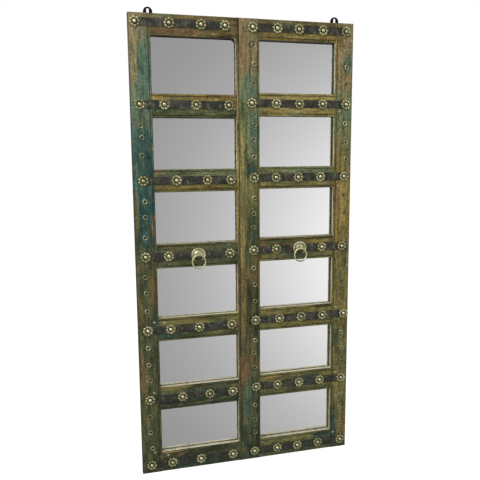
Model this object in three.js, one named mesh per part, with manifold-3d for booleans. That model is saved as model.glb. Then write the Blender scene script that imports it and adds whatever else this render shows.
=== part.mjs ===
// Shutter mirror: a pair of old shutter leaves with a mirror pane in every opening, iron straps
// with brass rosettes on the rails, two ring pulls, and two lugs at the top to hang it by.
// Millimetres. +X to the viewer's right, +Z up, front towards -Y. The origin is the middle of the
// panel on the back face of the backing board, which lies against the wall.

import * as THREE from 'three';
import { mergeVertices } from 'three/addons/utils/BufferGeometryUtils.js';
import Module from 'manifold-3d';

const wasm = await Module();
wasm.setup();

// Heights, from the bottom up: seven rails and the six openings between them.
const bottomRailHeight = 86;
const middleRailHeights = [97, 95, 96, 89, 90];
const topRailHeight = 78;
const openingHeights = [192, 197, 202, 203, 202, 203];

// Depths, from the front: the mirror's set-back, the pane, and the board behind it.
const mirrorSetback = 22;
const mirrorThickness = 4;
const boardThickness = 6;

// How far a cutting block, or one block joined to another, runs past the face that it meets.
const overrun = 1;

// Rebate behind each opening, and the play of a pane in it.
const rebateWidth = 10;
const paneEdgeGap = 0.5;
const paneBackGap = 0.25;

// Mortise and tenon joints between rails and stiles.
const tenonLength = 50;
const stubTenonLength = 8;
const tenonThickness = 9;
const tenonInset = 6.5;
const tenonShoulder = 15;
const joineryGap = 0.25;

// Lap joint where the leaves meet: a tongue of the left leaf behind the edge of the right one.
const lapWidth = 16;
const lapThickness = 13;
const meetingGap = 0.5;

// Moulding of stiles and rails: a chamfered edge and a scribed quirk line beside each opening.
const edgeChamfer = 2.5;
const quirkInset = 8;
const quirkWidth = 2;
const quirkDepth = 1.5;

// The one rounded corner, at the top right of the left leaf's top opening.
const cornerRadius = 15;

// Iron straps and the brass flower rosettes on them.
const strapHeight = 32;
const strapThickness = 2.5;
const strapTail = 14;
const rosetteLift = 0.5;
const rosette = { petals: 8, tipRadius: 21.5, valleyRadius: 17.5, rimHeight: 3.75, valleyHeight: 3 };
const rosetteDome = {
  footRadius: 11, footHeight: 5, shoulderRadius: 6.5, shoulderHeight: 8.5, height: 10.5,
};

// Ring pulls: rose, staple and ring.
const rose = { radius: 29.5, rimWidth: 8, rimHeight: 3, hollowHeight: 1.5 };
const roseDome = { radius: 18.5, height: 7 };
const stapleWire = 3.5;
const stapleLegGap = 0.25;
const stapleDepthInRail = 12;
const ringWire = 6;
const ringPastRose = 0.5;
const runningGap = 0.5;

// Hanging lugs and their screws.
const lugWidth = 35;
const lugThickness = 4;
const lugRise = 28;
const lugTail = 48;
const lugSlotWidth = 9.5;
const lugSlotTopWall = 5.5;
const lugEyeRadius = 9;
const lugEyeDrop = 0.5;
const screwShankRadius = 2;
const screwHeadRadius = 4;
const screwHeadHeight = 2.5;
const screwLength = 12.5;
const screwPointLength = 3.5;
const screwDrops = [19, 38];
const screwGap = 0.25;

// Backing board: how far it stops short of the panel's edges, and of the lugs.
const boardInset = 12;
const boardLugGap = 4;

// The leaves. Each row of rosettes is [distance of the first from the leaf's left edge, distance of
// the last from the end of the strap's seat, shares of the way between for the rest], bottom row
// first: they were nailed on by eye. pullIn gives the place in row 4 that holds the ring pull.
const left = {
  name: 'left',
  stileWidths: [82.5, 12.5],
  openingWidth: 329.5,
  tenons: [tenonLength, stubTenonLength],
  railDrops: [0, 8, 9, 7, 5, 10, 0],
  rosetteRows: [
    [36, 26, 0.25, 0.6], [37, 24, 0.385, 0.715], [37, 26, 0.265, 0.607], [37, 31, 0.27, 0.616],
    [38, 23, 0.37, 0.724], [33, 28, 0.27, 0.624], [24, 41, 0.372, 0.726],
  ],
  lugInset: 78,
};
const right = {
  name: 'right',
  stileWidths: [83, 77.5],
  openingWidth: 322,
  tenons: [tenonLength, tenonLength],
  railDrops: [0, 0, 0, 0, 0, 0, 0],
  rosetteRows: [
    [54, 26, 0.259, 0.49, 0.734], [62, 27, 0.247, 0.496, 0.743], [61, 20, 0.264, 0.509, 0.751],
    [54, 33, 0.251, 0.511, 0.765], [57, 29, 0.237, 0.482, 0.73], [49, 26, 0.253, 0.496, 0.744],
    [54, 31, 0.257, 0.486, 0.746],
  ],
  lugInset: 73,
};
const strapRises = [-8, 0, 0, 0, 1, 4, 6];
const pullRowIndex = 3;
const pullPlaceIndex = 2;

// Places worked out from those sizes.
const sum = (list) => list.reduce((total, value) => total + value, 0);
const railHeights = [bottomRailHeight, ...middleRailHeights, topRailHeight];
const panelHeight = sum(railHeights) + sum(openingHeights);
const leafWidth = (leaf) => sum(leaf.stileWidths) + leaf.openingWidth;
const panelWidth = leafWidth(left) + leafWidth(right);
const frameBack = -boardThickness;
const frameFront = frameBack - mirrorSetback - mirrorThickness - paneBackGap;
const rebateFace = frameFront + mirrorSetback;
const strapFront = frameFront - strapThickness;
const panelTop = panelHeight / 2;
left.startX = -panelWidth / 2;
right.startX = left.startX + leafWidth(left);

const materials = {
  paintedWood: new THREE.MeshStandardMaterial({ color: 0x5c6448, roughness: 0.75, metalness: 0 }),
  iron: new THREE.MeshStandardMaterial({ color: 0x2e2f30, roughness: 0.55, metalness: 0.7 }),
  brass: new THREE.MeshStandardMaterial({ color: 0xa89a5c, roughness: 0.35, metalness: 0.9 }),
  mirror: new THREE.MeshStandardMaterial({ color: 0xc4c6ca, roughness: 0.03, metalness: 1 }),
  blackIron: new THREE.MeshStandardMaterial({ color: 0x111112, roughness: 0.5, metalness: 0.5 }),
  steel: new THREE.MeshStandardMaterial({ color: 0x9a9a98, roughness: 0.35, metalness: 0.9 }),
  plywood: new THREE.MeshStandardMaterial({ color: 0xb08a5a, roughness: 0.85, metalness: 0 }),
};

const model = new THREE.Group();
model.name = 'shutter_mirror';

// ---- Solids: a closed three.js geometry becomes a solid to join or cut, and back again.

function toSolid(geometry) {
  const bare = geometry.clone();
  bare.deleteAttribute('normal');
  bare.deleteAttribute('uv');
  const merged = mergeVertices(bare, 1e-4);
  const solid = new wasm.Manifold(new wasm.Mesh({
    numProp: 3,
    vertProperties: new Float32Array(merged.attributes.position.array),
    triVerts: new Uint32Array(merged.index.array),
  }));
  if (solid.status() !== 'NoError') throw new Error(`not a closed geometry: ${solid.status()}`);
  if (solid.volume() <= 0) throw new Error('the geometry is inside out');
  return solid;
}

function toGeometry(solid) {
  const mesh = solid.getMesh();
  const geometry = new THREE.BufferGeometry();
  geometry.setAttribute('position', new THREE.BufferAttribute(new Float32Array(mesh.vertProperties), 3));
  geometry.setIndex(new THREE.BufferAttribute(new Uint32Array(mesh.triVerts), 1));
  geometry.computeVertexNormals();
  return geometry;
}

function cut(geometry, tools) {
  return toGeometry(tools.reduce((solid, tool) => solid.subtract(toSolid(tool)), toSolid(geometry)));
}

function join(geometries) {
  const [first, ...rest] = geometries;
  return toGeometry(rest.reduce((solid, next) => solid.add(toSolid(next)), toSolid(first)));
}

function addPiece(parent, name, geometry, material) {
  const mesh = new THREE.Mesh(geometry, material);
  mesh.name = name;
  parent.add(mesh);
  return mesh;
}

// A box between two corners.
function block([x0, y0, z0], [x1, y1, z1]) {
  const geometry = new THREE.BoxGeometry(x1 - x0, y1 - y0, z1 - z0);
  return geometry.translate((x0 + x1) / 2, (y0 + y1) / 2, (z0 + z1) / 2);
}

// A round bar along Y, from y0 to y1.
function bar(radius, x, z, y0, y1, sides = 12) {
  const geometry = new THREE.CylinderGeometry(radius, radius, y1 - y0, sides);
  return geometry.translate(x, (y0 + y1) / 2, z);
}

// ---- Layout of one leaf: its x places, rails, openings, mortises and rebates.

function layout(leaf) {
  const [firstStile, secondStile] = leaf.stileWidths;
  const openLeft = leaf.startX + firstStile;
  const openRight = openLeft + leaf.openingWidth;
  const end = openRight + secondStile;
  const rails = [];
  let bottom = -panelTop;
  railHeights.forEach((height, i) => {
    const low = bottom - leaf.railDrops[i];
    rails.push({ low, high: low + height, middle: low + height / 2 });
    bottom += height + (openingHeights[i] ?? 0);
  });
  const openings = rails.slice(1).map((rail, i) => ({ low: rails[i].high, high: rail.low }));
  return { openLeft, openRight, end, rails, openings };
}

function rebates({ openLeft, openRight, openings }) {
  return openings.map(({ low, high }) => block(
    [openLeft - rebateWidth, rebateFace, low - rebateWidth],
    [openRight + rebateWidth, frameBack + overrun, high + rebateWidth],
  ));
}

// The tenon of a rail whose shoulder is at face x, on the side -1 or 1, or its mortise when gap is
// the joinery gap. It starts inside the rail, so that the two join or the mortise's mouth is open.
function tenon(rail, x, side, length, gap) {
  const far = x + side * (length + gap);
  const near = x - side * overrun;
  const y = frameFront + tenonInset;
  return block(
    [Math.min(near, far), y - gap, rail.low + tenonShoulder - gap],
    [Math.max(near, far), y + tenonThickness + gap, rail.high - tenonShoulder + gap],
  );
}

// The front edge beside an opening as [y, place] corners, from the edge inwards: chamfer, flat, quirk.
function mouldedEdge(edge, inward) {
  return [
    [frameFront + edgeChamfer, edge],
    [frameFront, edge + inward * edgeChamfer],
    [frameFront, edge + inward * quirkInset],
    [frameFront + quirkDepth, edge + inward * (quirkInset + quirkWidth / 2)],
    [frameFront, edge + inward * (quirkInset + quirkWidth)],
  ];
}

// The section of a stile or rail between two edges, each moulded where it is beside an opening. It
// has y along its first axis, and the place across the piece along its second.
function timberSection([low, lowMoulded], [high, highMoulded]) {
  const first = lowMoulded ? mouldedEdge(low, 1) : [[frameFront, low]];
  const second = highMoulded ? mouldedEdge(high, -1).reverse() : [[frameFront, high]];
  const outline = [[frameBack, low], ...first, ...second, [frameBack, high]];
  return new THREE.Shape(outline.map(([y, place]) => new THREE.Vector2(y, place)));
}

// ---- Stiles: full height, mortised for the rails, rebated behind the openings.

function stileBlank(lowEdge, highEdge) {
  const section = timberSection(lowEdge, highEdge);
  const blank = new THREE.ExtrudeGeometry(section, { depth: panelHeight, bevelEnabled: false });
  const upright = new THREE.Matrix4().makeBasis(
    new THREE.Vector3(0, 1, 0),
    new THREE.Vector3(1, 0, 0),
    new THREE.Vector3(0, 0, 1),
  );
  return flipped(blank.applyMatrix4(upright)).translate(0, 0, -panelTop);
}

// A geometry whose faces were turned inside out by a mirroring, turned back.
function flipped(geometry) {
  const turned = mergeVertices(geometry);
  const index = turned.index.array;
  for (let i = 0; i < index.length; i += 3) [index[i], index[i + 1]] = [index[i + 1], index[i]];
  return turned;
}

function mortises(leaf, plan, side) {
  const x = side < 0 ? plan.openLeft : plan.openRight;
  const length = side < 0 ? leaf.tenons[0] : leaf.tenons[1];
  return plan.rails.map((rail) => tenon(rail, x, side, length, joineryGap));
}

function outerStile(leaf, plan) {
  const onLeft = leaf === left;
  const side = onLeft ? -1 : 1;
  const blank = onLeft
    ? stileBlank([leaf.startX, false], [plan.openLeft, true])
    : stileBlank([plan.openRight, true], [plan.end, false]);
  return cut(blank, [...mortises(leaf, plan, side), ...rebates(plan), ...lugScrewHoles(leaf)]);
}

function leftMeetingStile(plan) {
  const face = stileBlank([plan.openRight, true], [plan.end - meetingGap / 2, false]);
  const tongue = block(
    [plan.openRight, frameBack - lapThickness, -panelTop],
    [plan.end + lapWidth - meetingGap, frameBack, panelTop],
  );
  return cut(join([face, tongue]), [...mortises(left, plan, 1), ...rebates(plan)]);
}

function rightMeetingStile(plan) {
  const blank = stileBlank([right.startX + meetingGap / 2, false], [plan.openLeft, true]);
  const lap = block(
    [right.startX - overrun, frameBack - lapThickness - joineryGap, -panelTop - overrun],
    [right.startX + lapWidth, frameBack + overrun, panelTop + overrun],
  );
  return cut(blank, [lap, ...mortises(right, plan, -1), ...rebates(plan)]);
}

// ---- Rails: a moulded section along X, a tenon at each end, rebated behind the openings.

function railPiece(leaf, plan, i) {
  const rail = plan.rails[i];
  const section = timberSection([rail.low, i > 0], [rail.high, i < railHeights.length - 1]);
  const body = new THREE.ExtrudeGeometry(section, { depth: leaf.openingWidth, bevelEnabled: false });
  const alongX = new THREE.Matrix4().makeBasis(
    new THREE.Vector3(0, 1, 0),
    new THREE.Vector3(0, 0, 1),
    new THREE.Vector3(1, 0, 0),
  );
  body.applyMatrix4(alongX).translate(plan.openLeft, 0, 0);
  const tenons = [
    tenon(rail, plan.openLeft, -1, leaf.tenons[0], 0),
    tenon(rail, plan.openRight, 1, leaf.tenons[1], 0),
  ];
  const rounded = leaf === left && i === railHeights.length - 1;
  const corners = rounded ? [roundedCorner(plan.openRight, rail.low)] : [];
  const holes = i === pullRowIndex ? stapleHoles(pullCentre(leaf, plan)) : [];
  return cut(join([body, ...tenons, ...corners]), [...rebates(plan), ...holes]);
}

// The wood left in an opening's upper right corner, hollowed to a quarter circle, behind the chamfer.
function roundedCorner(x, z) {
  const outline = new THREE.Shape();
  outline.moveTo(x, z + overrun);
  outline.lineTo(x - cornerRadius, z + overrun);
  outline.absarc(x - cornerRadius, z - cornerRadius, cornerRadius, Math.PI / 2, 0, true);
  outline.closePath();
  const depth = rebateFace - frameFront - edgeChamfer;
  const corner = new THREE.ExtrudeGeometry(outline, { depth, bevelEnabled: false, curveSegments: 6 });
  return corner.rotateX(Math.PI / 2).translate(0, rebateFace, 0);
}

// ---- Mirror panes: plain sheets, each in its rebate against the rebate's face.

function paneSize(leaf, opening) {
  const margin = 2 * (rebateWidth - paneEdgeGap);
  return [leaf.openingWidth + margin, mirrorThickness, opening.high - opening.low + margin];
}

// ---- Straps and rosettes.

// Where the strap of one rail runs, and the places along it, bottom row first.
function strapPlan(leaf, plan, row) {
  const [firstInset, lastInset, ...shares] = leaf.rosetteRows[row];
  const seatEnd = leaf === left ? plan.openRight : plan.end;
  const first = leaf.startX + firstInset;
  const last = seatEnd - lastInset;
  const places = [first, ...shares.map((share) => first + share * (last - first)), last];
  return { first, last, places, z: plan.rails[row].middle + strapRises[row] };
}

function pullCentre(leaf, plan) {
  const { places, z } = strapPlan(leaf, plan, pullRowIndex);
  return { x: places[pullPlaceIndex], z };
}

// A flower of sheet brass with eight petals and a domed middle, facing -Y, its back just off the wood.
function rosetteGeometry(x, z) {
  const { petals, tipRadius, valleyRadius, rimHeight, valleyHeight } = rosette;
  const { footRadius, footHeight, shoulderRadius, shoulderHeight, height } = rosetteDome;
  const points = [];
  const triangles = [];
  const put = (radius, turn, rise) => {
    const angle = (2 * Math.PI * turn) / petals;
    points.push(x - radius * Math.sin(angle), frameFront - rise, z + radius * Math.cos(angle));
    return points.length / 3 - 1;
  };
  const quad = (a, b, c, d) => triangles.push(a, b, c, a, c, d);
  const top = put(0, 0, height);
  const middle = put(0, 0, rosetteLift);
  const petalPoints = Array.from({ length: petals }, (_, i) => ({
    valley: put(valleyRadius, i, valleyHeight),
    valleyBack: put(valleyRadius, i, rosetteLift),
    tip: put(tipRadius, i + 0.5, rimHeight),
    tipBack: put(tipRadius, i + 0.5, rosetteLift),
    foot: put(footRadius, i, footHeight),
    shoulder: put(shoulderRadius, i, shoulderHeight),
  }));
  petalPoints.forEach((petal, i) => {
    const next = petalPoints[(i + 1) % petals];
    triangles.push(petal.foot, petal.valley, petal.tip);
    triangles.push(petal.foot, petal.tip, next.foot);
    triangles.push(next.foot, petal.tip, next.valley);
    quad(petal.shoulder, petal.foot, next.foot, next.shoulder);
    triangles.push(top, petal.shoulder, next.shoulder);
    quad(petal.valley, petal.valleyBack, petal.tipBack, petal.tip);
    quad(petal.tip, petal.tipBack, next.valleyBack, next.valley);
    triangles.push(middle, petal.tipBack, petal.valleyBack);
    triangles.push(middle, next.valleyBack, petal.tipBack);
  });
  const geometry = new THREE.BufferGeometry();
  geometry.setAttribute('position', new THREE.Float32BufferAttribute(points, 3));
  geometry.setIndex(triangles);
  return geometry;
}

function strapPiece(leaf, plan, row) {
  const { first, last, places, z } = strapPlan(leaf, plan, row);
  const strap = block(
    [first - strapTail, strapFront, z - strapHeight / 2],
    [last + strapTail, frameFront, z + strapHeight / 2],
  );
  const flowers = places
    .filter((_, place) => row !== pullRowIndex || place !== pullPlaceIndex)
    .map((x) => rosetteGeometry(x, z));
  const joined = join([strap, ...flowers]);
  if (row !== pullRowIndex) return joined;
  return cut(joined, stapleHoles(pullCentre(leaf, plan)));
}

// ---- Ring pulls: a domed rose on the strap, a staple through it, a ring in the staple.

// The ring is about as wide as the rose. The staple's two legs stand above and below the ring's
// wire, which hangs on the lower one.
const ringRadius = rose.radius + ringPastRose - ringWire / 2;
const legOffset = ringWire / 2 + runningGap + stapleWire / 2;
const ringOut = roseDome.height + runningGap + ringWire / 2;
const stapleOut = ringOut + ringWire / 2 + runningGap + stapleWire / 2;

function stapleHoles({ x, z }) {
  const radius = stapleWire / 2 + stapleLegGap;
  const front = strapFront - roseDome.height - overrun;
  const back = frameFront + stapleDepthInRail + stapleLegGap;
  return [-1, 1].map((side) => bar(radius, x, z + side * legOffset, front, back));
}

// The rose's outline: a rounded rim, a hollow, and a dome that is part of a ball.
function rosePiece(centre) {
  const domeRise = roseDome.height - rose.hollowHeight;
  const ballRadius = (roseDome.radius ** 2 + domeRise ** 2) / (2 * domeRise);
  const domeAngle = Math.asin(roseDome.radius / ballRadius);
  const dome = [1, 0.8, 0.6, 0.4, 0.2, 0].map((share) => {
    const angle = share * domeAngle;
    return [ballRadius * Math.sin(angle), roseDome.height - ballRadius * (1 - Math.cos(angle))];
  });
  const profile = [
    [0, 0],
    [rose.radius, 0],
    [rose.radius, rose.hollowHeight],
    [rose.radius - rose.rimWidth / 4, rose.rimHeight],
    [rose.radius - rose.rimWidth * 3 / 4, rose.rimHeight],
    [rose.radius - rose.rimWidth, rose.hollowHeight],
    ...dome,
  ].map(([radius, rise]) => new THREE.Vector2(radius, rise));
  const body = new THREE.LatheGeometry(profile, 24).rotateX(Math.PI);
  body.translate(centre.x, strapFront, centre.z);
  return cut(body, stapleHoles(centre));
}

function staplePiece({ x, z }) {
  const legEnd = frameFront + stapleDepthInRail;
  const bend = strapFront - stapleOut + legOffset;
  const bendSpans = 8;
  const path = [[legEnd, -legOffset]];
  for (let i = 0; i <= bendSpans; i += 1) {
    const angle = (Math.PI * i) / bendSpans;
    path.push([bend - legOffset * Math.sin(angle), -legOffset * Math.cos(angle)]);
  }
  path.push([legEnd, legOffset]);
  return wireGeometry(path, stapleWire / 2, 8).translate(x, 0, z);
}

// Round wire along a path of [y, z] places in the plane x = 0.
function wireGeometry(path, radius, sides) {
  const last = path.length - 1;
  const points = path.flatMap(([y, z], i) => {
    const [y0, z0] = path[Math.max(i - 1, 0)];
    const [y1, z1] = path[Math.min(i + 1, last)];
    const length = Math.hypot(y1 - y0, z1 - z0);
    const across = [-(z1 - z0) / length, (y1 - y0) / length];
    return Array.from({ length: sides }, (_, k) => {
      const angle = (2 * Math.PI * k) / sides;
      const reach = radius * Math.sin(angle);
      return [radius * Math.cos(angle), y + reach * across[0], z + reach * across[1]];
    });
  });
  const triangles = [];
  for (let i = 0; i < last; i += 1) {
    for (let k = 0; k < sides; k += 1) {
      const next = (k + 1) % sides;
      const [a, b] = [i * sides + k, i * sides + next];
      triangles.push(a, a + sides, b, b, a + sides, b + sides);
    }
  }
  for (let k = 1; k < sides - 1; k += 1) {
    triangles.push(0, k, k + 1);
    triangles.push(last * sides, last * sides + k + 1, last * sides + k);
  }
  const geometry = new THREE.BufferGeometry();
  geometry.setAttribute('position', new THREE.Float32BufferAttribute(points.flat(), 3));
  geometry.setIndex(triangles);
  return geometry;
}

// The ring hangs on the staple's lower leg: the wire's middle, at the top of the ring, is the axis
// that the ring swings on.
function ringPivot({ x, z }) {
  return new THREE.Vector3(x, strapFront - ringOut, z);
}

function ringPiece() {
  return new THREE.TorusGeometry(ringRadius, ringWire / 2, 8, 24).rotateX(Math.PI / 2);
}

// ---- Hanging lugs, each a plate with a keyhole, and their screws.

function lugCentreX(leaf) {
  return leaf === left ? leaf.startX + leaf.lugInset : leaf.startX + leafWidth(leaf) - leaf.lugInset;
}

function lugScrewHoles(leaf) {
  const x = lugCentreX(leaf);
  const depth = frameBack + lugThickness - screwLength - screwGap;
  return screwDrops.map((drop) => bar(
    screwShankRadius + screwGap, x, panelTop - drop, depth, frameBack + overrun,
  ));
}

function lugPiece(leaf) {
  const half = lugWidth / 2;
  const outline = new THREE.Shape();
  outline.moveTo(-half, -lugTail);
  outline.lineTo(half, -lugTail);
  outline.lineTo(half, lugRise - half);
  outline.absarc(0, lugRise - half, half, 0, Math.PI, false);
  outline.closePath();
  const slotHalf = lugSlotWidth / 2;
  const mouth = Math.acos(slotHalf / lugEyeRadius);
  const keyhole = new THREE.Path();
  keyhole.absarc(0, lugRise - lugSlotTopWall - slotHalf, slotHalf, 0, Math.PI, false);
  keyhole.absarc(0, -lugEyeDrop, lugEyeRadius, Math.PI - mouth, 2 * Math.PI + mouth, false);
  keyhole.closePath();
  outline.holes.push(keyhole);
  const plate = new THREE.ExtrudeGeometry(outline, {
    depth: lugThickness, bevelEnabled: false, curveSegments: 10,
  });
  plate.rotateX(Math.PI / 2);
  plate.translate(lugCentreX(leaf), frameBack + lugThickness, panelTop);
  const [front, back] = [frameBack - overrun, frameBack + lugThickness + overrun];
  const seats = screwDrops.flatMap((drop) => [
    bar(screwShankRadius + screwGap, lugCentreX(leaf), panelTop - drop, front, back),
    countersink(lugCentreX(leaf), panelTop - drop),
  ]);
  return cut(plate, seats);
}

// The cone that a screw head sits in, wide end at the lug's back.
function countersink(x, z) {
  const top = frameBack + lugThickness;
  const slope = (screwHeadRadius - screwShankRadius) / screwHeadHeight;
  const wide = screwHeadRadius + screwGap + slope * overrun;
  const narrow = screwShankRadius + screwGap;
  const height = screwHeadHeight + overrun;
  return new THREE.CylinderGeometry(wide, narrow, height, 12)
    .translate(x, top + overrun - height / 2, z);
}

function screwPiece() {
  const profile = [
    [0, 0],
    [screwShankRadius, screwPointLength],
    [screwShankRadius, screwLength - screwHeadHeight],
    [screwHeadRadius, screwLength],
    [0, screwLength],
  ].map(([radius, rise]) => new THREE.Vector2(radius, rise));
  return new THREE.LatheGeometry(profile, 10);
}

// ---- Assembly.

for (const leaf of [left, right]) {
  const plan = layout(leaf);
  const group = new THREE.Group();
  group.name = `${leaf.name}_leaf`;
  model.add(group);

  addPiece(group, `${leaf.name}_outer_stile`, outerStile(leaf, plan), materials.paintedWood);
  const meeting = leaf === left ? leftMeetingStile(plan) : rightMeetingStile(plan);
  addPiece(group, `${leaf.name}_meeting_stile`, meeting, materials.paintedWood);

  plan.rails.forEach((rail, i) => {
    addPiece(group, `${leaf.name}_rail_${i + 1}`, railPiece(leaf, plan, i), materials.paintedWood);
    addPiece(group, `${leaf.name}_strap_${i + 1}`, strapPiece(leaf, plan, i), materials.iron);
  });

  plan.openings.forEach((opening, i) => {
    const pane = new THREE.BoxGeometry(...paneSize(leaf, opening));
    const mesh = addPiece(group, `${leaf.name}_mirror_${i + 1}`, pane, materials.mirror);
    mesh.position.set(
      (plan.openLeft + plan.openRight) / 2,
      rebateFace + mirrorThickness / 2,
      (opening.low + opening.high) / 2,
    );
  });

  const centre = pullCentre(leaf, plan);
  addPiece(group, `${leaf.name}_pull_rose`, rosePiece(centre), materials.brass);
  addPiece(group, `${leaf.name}_pull_staple`, staplePiece(centre), materials.brass);
  const swing = new THREE.Group();
  swing.position.copy(ringPivot(centre));
  group.add(swing);
  const ring = addPiece(swing, `${leaf.name}_pull_ring`, ringPiece(), materials.brass);
  ring.position.set(0, 0, -ringRadius);

  addPiece(group, `${leaf.name}_hanging_lug`, lugPiece(leaf), materials.blackIron);
  screwDrops.forEach((drop, i) => {
    const place = i === 0 ? 'upper' : 'lower';
    const screw = addPiece(group, `${leaf.name}_lug_screw_${place}`, screwPiece(), materials.steel);
    screw.position.set(lugCentreX(leaf), frameBack + lugThickness - screwLength, panelTop - drop);
  });
}

const board = block(
  [-panelWidth / 2 + boardInset, frameBack, -panelTop + boardInset],
  [panelWidth / 2 - boardInset, 0, panelTop - lugTail - boardLugGap],
);
addPiece(model, 'backing_board', board, materials.plywood);

export default model;
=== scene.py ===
import math
import random

import bmesh
import bpy
from mathutils import Matrix, Vector, noise


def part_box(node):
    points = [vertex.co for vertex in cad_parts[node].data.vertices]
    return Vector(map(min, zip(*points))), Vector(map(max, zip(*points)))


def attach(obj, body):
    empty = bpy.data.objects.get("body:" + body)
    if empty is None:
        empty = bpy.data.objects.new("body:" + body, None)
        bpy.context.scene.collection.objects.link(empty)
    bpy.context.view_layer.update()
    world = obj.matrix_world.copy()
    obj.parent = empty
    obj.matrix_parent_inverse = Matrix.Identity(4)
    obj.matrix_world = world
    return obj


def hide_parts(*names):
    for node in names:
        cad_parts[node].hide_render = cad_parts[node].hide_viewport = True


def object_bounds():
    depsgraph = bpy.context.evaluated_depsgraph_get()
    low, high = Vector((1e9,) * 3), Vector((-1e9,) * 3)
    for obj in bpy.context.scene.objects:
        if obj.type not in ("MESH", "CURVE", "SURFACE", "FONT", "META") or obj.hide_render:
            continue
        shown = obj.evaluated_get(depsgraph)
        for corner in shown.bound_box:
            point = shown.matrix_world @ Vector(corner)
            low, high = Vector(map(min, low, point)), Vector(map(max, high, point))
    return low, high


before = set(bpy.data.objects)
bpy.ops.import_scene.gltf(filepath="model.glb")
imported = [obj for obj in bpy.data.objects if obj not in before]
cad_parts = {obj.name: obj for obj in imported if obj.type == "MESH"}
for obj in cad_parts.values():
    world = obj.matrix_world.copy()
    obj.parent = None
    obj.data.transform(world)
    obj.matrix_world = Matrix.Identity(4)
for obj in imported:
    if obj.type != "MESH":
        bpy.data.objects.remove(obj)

cad_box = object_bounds()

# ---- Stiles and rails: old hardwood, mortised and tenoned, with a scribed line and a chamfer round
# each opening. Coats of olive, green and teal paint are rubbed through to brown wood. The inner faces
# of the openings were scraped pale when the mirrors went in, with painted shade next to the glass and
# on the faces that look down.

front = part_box("left_outer_stile")[0].y
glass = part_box("left_mirror_1")[0].y
side_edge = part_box("right_outer_stile")[1].x
end_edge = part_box("left_outer_stile")[1].z


class Shade:
    """An output of a shader node. Arithmetic on it adds Math nodes, and make adds any other node."""

    def __init__(self, tree, output):
        self.tree = tree
        self.output = output

    def make(self, kind, settings=None, inputs=None, out=0):
        """A new node's output. A colour ramp's settings are its stops, as (place, colour)."""
        node = self.tree.nodes.new("ShaderNode" + kind)
        for key, value in (settings or {}).items():
            if key == "stops":
                first, *between, last = value
                ramp = node.color_ramp.elements
                ramp[0].position, ramp[0].color = first
                ramp[1].position, ramp[1].color = last
                for place, colour in between:
                    ramp.new(place).color = colour
            else:
                setattr(node, key, value)
        for key, value in (inputs or {}).items():
            if isinstance(value, Shade):
                self.tree.links.new(value.output, node.inputs[key])
            else:
                node.inputs[key].default_value = value
        return Shade(self.tree, node.outputs[out] if len(node.outputs) else None)

    def maths(self, operation, *others):
        """This number and any others through a Math node."""
        return self.make("Math", {"operation": operation}, dict(enumerate((self, *others))))

    def vector_maths(self, operation, *others, out=0):
        """This vector and any others through a Vector Math node."""
        return self.make("VectorMath", {"operation": operation}, dict(enumerate((self, *others))), out)

    def __add__(self, other):
        return self.maths("ADD", other)

    __radd__ = __add__

    def __sub__(self, other):
        return self.maths("SUBTRACT", other)

    def __rsub__(self, other):
        return self.make("Math", {"operation": "SUBTRACT"}, {0: other, 1: self})

    def __mul__(self, other):
        return self.maths("MULTIPLY", other)

    def __truediv__(self, other):
        return self.maths("DIVIDE", other)

    def parts(self):
        """The x, y and z of this vector."""
        split = self.make("SeparateXYZ", {}, {0: self})
        return [Shade(self.tree, output) for output in split.output.node.outputs]

    def band(self, low, high):
        """0 up to low, 1 from high, and a smooth rise between. Where low is the greater, it falls."""
        limits = {"Value": self, "From Min": low, "From Max": high}
        return self.make("MapRange", {"interpolation_type": "SMOOTHSTEP"}, limits)

    def mix(self, first, second):
        """The colour first where this is 0, and second where it is 1. The Mix node keeps its inputs 6
        and 7 and its output 2 for colours."""
        return self.make("Mix", {"data_type": "RGBA"}, {0: self, 6: first, 7: second}, out=2)

    def dimmed(self, amount):
        """This colour, times an amount."""
        return self.make("VectorMath", {"operation": "SCALE"}, {0: self, "Scale": amount})

    def distance(self, place):
        """How far this place is from another."""
        return self.vector_maths("DISTANCE", place, out="Value")

    def stretch(self, scale, shift=(0, 0, 0)):
        """This vector moved by shift, then scaled along each axis."""
        return self.vector_maths("ADD", shift).vector_maths("MULTIPLY", scale)

    def noise(self, scale, detail=3.0, roughness=0.55):
        """Noise on this vector, from 0 to 1."""
        inputs = {"Vector": self, "Scale": scale, "Detail": detail, "Roughness": roughness}
        return self.make("TexNoise", {"noise_dimensions": "3D"}, inputs)

    def bumps(self, distance, strength):
        """A normal that shows this height."""
        inputs = {"Height": self, "Distance": distance, "Strength": strength}
        return self.make("Bump", {}, inputs)


def start_material(name):
    """A new material, and the object coordinates of the piece that it goes on."""
    material = bpy.data.materials.new(name)
    material.use_nodes = True
    material.node_tree.nodes.clear()
    return material, Shade(material.node_tree, None).make("TexCoord", out="Object")


def end_material(spot, sockets):
    """The surface itself, with these values and links on its sockets."""
    surface = spot.make("BsdfPrincipled", {}, sockets)
    spot.make("OutputMaterial", {}, {"Surface": surface})


def tone(red, green, blue):
    """A colour as seen on a screen, 0 to 255, in the renderer's own measure."""
    shares = [value / 255 for value in (red, green, blue)]
    return (*[s / 12.92 if s <= 0.04045 else ((s + 0.055) / 1.055) ** 2.4 for s in shares], 1)


def on_panel(across, up):
    """The x and z of a place given in mm from the panel's lower left corner."""
    return across / 1000 - side_edge, up / 1000 - end_edge


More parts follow.
